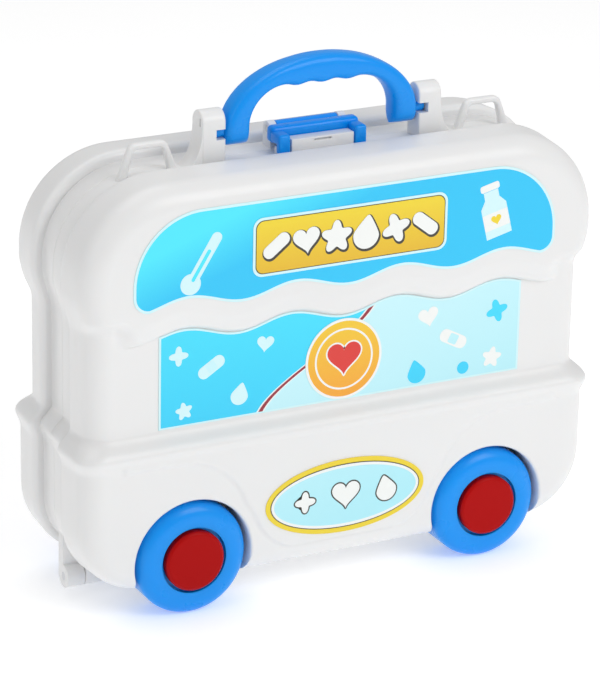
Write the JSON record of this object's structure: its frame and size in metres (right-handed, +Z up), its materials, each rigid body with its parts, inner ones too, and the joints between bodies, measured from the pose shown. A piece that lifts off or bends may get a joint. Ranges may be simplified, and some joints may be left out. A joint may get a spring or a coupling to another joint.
{
  "type": "toy doctor case",
  "caption": "Toy doctor case shaped like a small bus: two hinged hollow halves on wheels, with folding handle, flip latch, strap loops and flat labels",
  "frame": {"origin": "on the floor, under the middle of the case, in the parting plane of its two halves", "axes": "+Z up, -Y to the labelled front, +X to the right seen from the front"},
  "size_m": [0.2784, 0.091, 0.2608],
  "materials": {
    "shell": "smooth satin",
    "blue": "gloss",
    "hub_cap": "satin",
    "pin": "bright",
    "roof_label": "printed film",
    "panel_label": "printed film",
    "title_plate": "printed film",
    "emblem_label": "printed film",
    "oval_label": "printed film"
  },
  "bodies": {
    "rear_case": {"rear_shell": "shell", "hinge_pin_left": "pin", "hinge_pin_right": "pin", "latch_pin": "pin", "axle_rear_left": "pin", "axle_rear_right": "pin"},
    "front_case": {"front_shell": "shell", "axle_front_left": "pin", "axle_front_right": "pin", "roof_label": "roof_label", "panel_label": "panel_label", "title_plate": "title_plate", "emblem_label": "emblem_label", "oval_label": "oval_label"},
    "carry_handle": {"handle": "blue"},
    "lid_latch": {"latch": "blue"},
    "wheel_front_left_set": {"wheel_front_left": "blue", "hub_cap_front_left": "hub_cap"},
    "wheel_front_right_set": {"wheel_front_right": "blue", "hub_cap_front_right": "hub_cap"},
    "wheel_rear_left_set": {"wheel_rear_left": "blue", "hub_cap_rear_left": "hub_cap"},
    "wheel_rear_right_set": {"wheel_rear_right": "blue", "hub_cap_rear_right": "hub_cap"}
  },
  "joints": [
    {"name": "lid_hinge", "type": "hinge", "parent": "rear_case", "child": "front_case", "pos_m": [0, 0, 0.0116], "axis": [1, 0, 0], "range_deg": [0, 115]},
    {"name": "handle_fold", "type": "hinge", "parent": "front_case", "child": "carry_handle", "pos_m": [0, -0.0075, 0.2283], "axis": [1, 0, 0], "range_deg": [-80, 80]},
    {"name": "latch_flip", "type": "hinge", "parent": "rear_case", "child": "lid_latch", "pos_m": [0, 0.006, 0.2215], "axis": [-1, 0, 0], "range_deg": [0, 75]},
    {"name": "wheel_front_left_spin", "type": "hinge", "parent": "front_case", "child": "wheel_front_left_set", "pos_m": [-0.08, -0.032, 0.0285], "axis": [0, 1, 0], "continuous": true},
    {"name": "wheel_front_right_spin", "type": "hinge", "parent": "front_case", "child": "wheel_front_right_set", "pos_m": [0.08, -0.032, 0.0285], "axis": [0, 1, 0], "continuous": true},
    {"name": "wheel_rear_left_spin", "type": "hinge", "parent": "rear_case", "child": "wheel_rear_left_set", "pos_m": [-0.08, 0.032, 0.0285], "axis": [0, 1, 0], "continuous": true},
    {"name": "wheel_rear_right_spin", "type": "hinge", "parent": "rear_case", "child": "wheel_rear_right_set", "pos_m": [0.08, 0.032, 0.0285], "axis": [0, 1, 0], "continuous": true}
  ]
}
